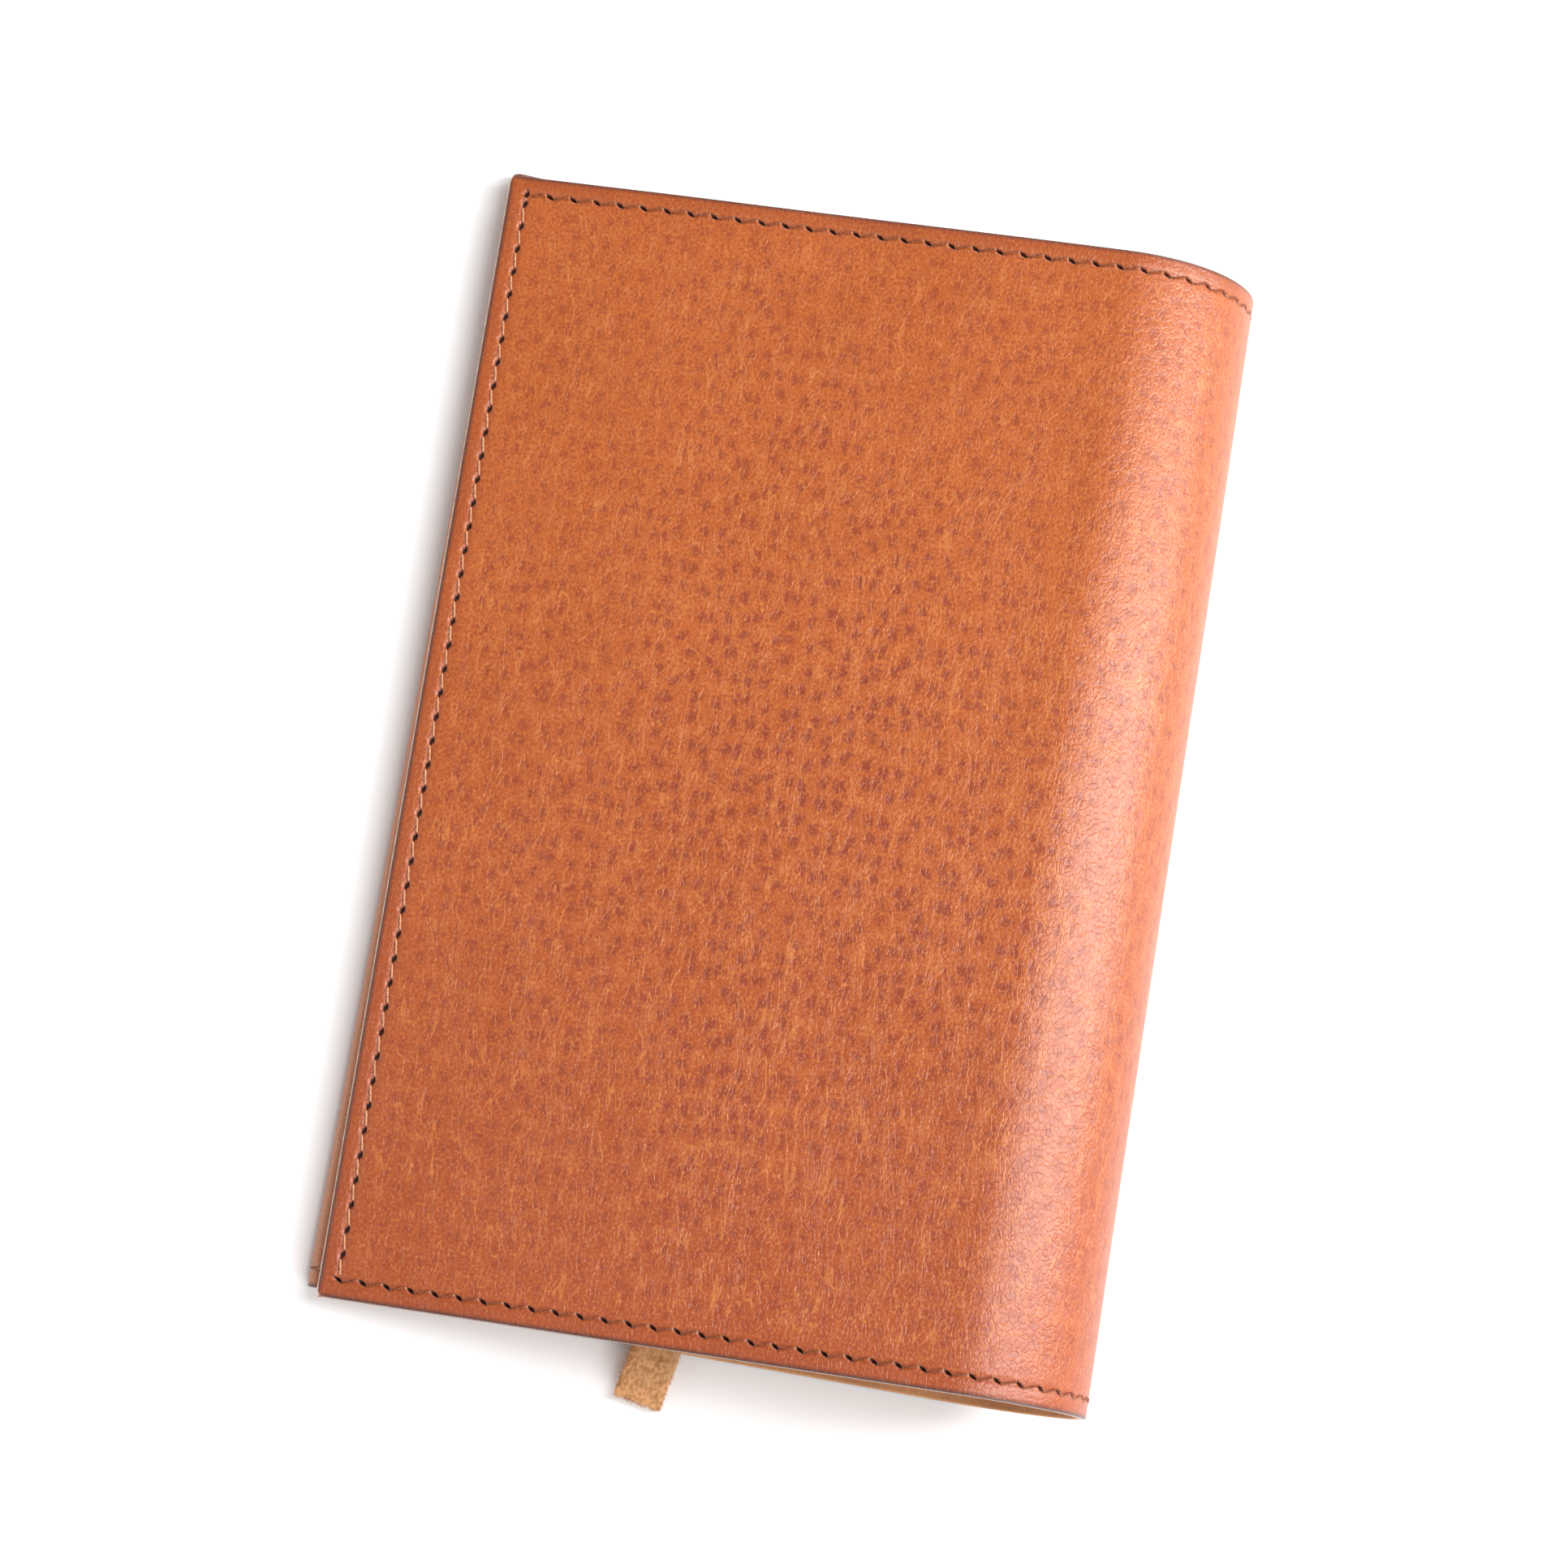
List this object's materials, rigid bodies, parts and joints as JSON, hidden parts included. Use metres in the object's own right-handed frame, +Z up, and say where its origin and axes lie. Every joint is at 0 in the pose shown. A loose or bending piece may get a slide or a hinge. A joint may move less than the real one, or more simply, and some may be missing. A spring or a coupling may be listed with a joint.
{
  "type": "leather notebook cover",
  "caption": "Slip-on leather cover for an A5 notebook, stitched at head, tail and fore edge, with inner pockets and a leather bookmark strap.",
  "frame": {"origin": "centre of the front cover's flat underside, on the surface the closed cover lies on", "axes": "+X from the fore edge to the spine, +Y from tail to head, +Z up out of the front cover"},
  "size_m": [0.1464, 0.2317, 0.048],
  "materials": {
    "outer_leather": "vegetable-tanned tan leather, lightly waxed, with mottled grain and dark burnished cut edges",
    "lining_leather": "thin undyed lining leather, matt",
    "waxed_thread": "waxed, twisted polyester stitching thread",
    "suede_strap": "leather strap lying flesh side up, fibrous and matt"
  },
  "bodies": {
    "front_cover": {"front_outer_leather": "outer_leather", "front_lining": "lining_leather", "front_head_needle_thread": "waxed_thread", "front_pocket_head_thread": "waxed_thread", "front_head_inside_thread": "waxed_thread", "front_tail_needle_thread": "waxed_thread", "front_pocket_tail_thread": "waxed_thread", "front_tail_inside_thread": "waxed_thread", "bookmark_tack_stitch": "waxed_thread"},
    "spine_front_shoulder": {"spine_front_shoulder_outer_leather": "outer_leather", "spine_front_shoulder_lining": "lining_leather", "spine_front_shoulder_head_needle_thread": "waxed_thread", "spine_front_shoulder_head_inside_thread": "waxed_thread", "spine_front_shoulder_tail_needle_thread": "waxed_thread", "spine_front_shoulder_tail_inside_thread": "waxed_thread"},
    "spine_front": {"spine_front_outer_leather": "outer_leather", "spine_front_lining": "lining_leather", "spine_front_head_needle_thread": "waxed_thread", "spine_front_head_inside_thread": "waxed_thread", "spine_front_tail_needle_thread": "waxed_thread", "spine_front_tail_inside_thread": "waxed_thread"},
    "spine_middle": {"spine_middle_outer_leather": "outer_leather", "spine_middle_lining": "lining_leather", "spine_middle_head_needle_thread": "waxed_thread", "spine_middle_head_inside_thread": "waxed_thread", "spine_middle_tail_needle_thread": "waxed_thread", "spine_middle_tail_inside_thread": "waxed_thread"},
    "spine_back": {"spine_back_outer_leather": "outer_leather", "spine_back_lining": "lining_leather", "spine_back_head_needle_thread": "waxed_thread", "spine_back_head_inside_thread": "waxed_thread", "spine_back_tail_needle_thread": "waxed_thread", "spine_back_tail_inside_thread": "waxed_thread"},
    "spine_back_shoulder": {"spine_back_shoulder_outer_leather": "outer_leather", "spine_back_shoulder_lining": "lining_leather", "spine_back_shoulder_head_needle_thread": "waxed_thread", "spine_back_shoulder_head_inside_thread": "waxed_thread", "spine_back_shoulder_tail_needle_thread": "waxed_thread", "spine_back_shoulder_tail_inside_thread": "waxed_thread"},
    "back_cover": {"back_outer_leather": "outer_leather", "back_lining": "lining_leather", "back_sleeve": "outer_leather", "back_head_needle_thread": "waxed_thread", "back_sleeve_head_thread": "waxed_thread", "back_head_inside_thread": "waxed_thread", "back_tail_needle_thread": "waxed_thread", "back_sleeve_tail_thread": "waxed_thread", "back_tail_inside_thread": "waxed_thread", "back_fore_edge_needle_thread": "waxed_thread", "back_sleeve_fore_edge_thread": "waxed_thread"},
    "bookmark": {"bookmark_strap": "suede_strap"}
  },
  "joints": [
    {"name": "opening_at_front_edge_of_spine", "type": "hinge", "parent": "front_cover", "child": "spine_front_shoulder", "pos_m": [0.06775, 0, 0.001], "axis": [0, 1, 0], "range_deg": [0, 33.16]},
    {"name": "opening_at_front_shoulder", "type": "hinge", "parent": "spine_front_shoulder", "child": "spine_front", "pos_m": [0.07921, 0, 0.00849], "axis": [0, 1, 0], "range_deg": [0, 33.16]},
    {"name": "opening_below_middle", "type": "hinge", "parent": "spine_front", "child": "spine_middle", "pos_m": [0.08472, 0, 0.02103], "axis": [0, 1, 0], "range_deg": [0, 33.16]},
    {"name": "opening_above_middle", "type": "hinge", "parent": "spine_middle", "child": "spine_back", "pos_m": [0.08246, 0, 0.03454], "axis": [0, 1, 0], "range_deg": [0, 33.16]},
    {"name": "opening_at_back_shoulder", "type": "hinge", "parent": "spine_back", "child": "spine_back_shoulder", "pos_m": [0.07318, 0, 0.04462], "axis": [0, 1, 0], "range_deg": [0, 33.16]},
    {"name": "opening_at_back_edge_of_spine", "type": "hinge", "parent": "spine_back_shoulder", "child": "back_cover", "pos_m": [0.0599, 0, 0.04798], "axis": [0, 1, 0], "range_deg": [0, 33.16]},
    {"name": "bookmark_swing", "type": "hinge", "parent": "front_cover", "child": "bookmark", "pos_m": [0.0457, 0.1015, 0.0034], "axis": [0, 0, 1], "range_deg": [0, 12]}
  ]
}
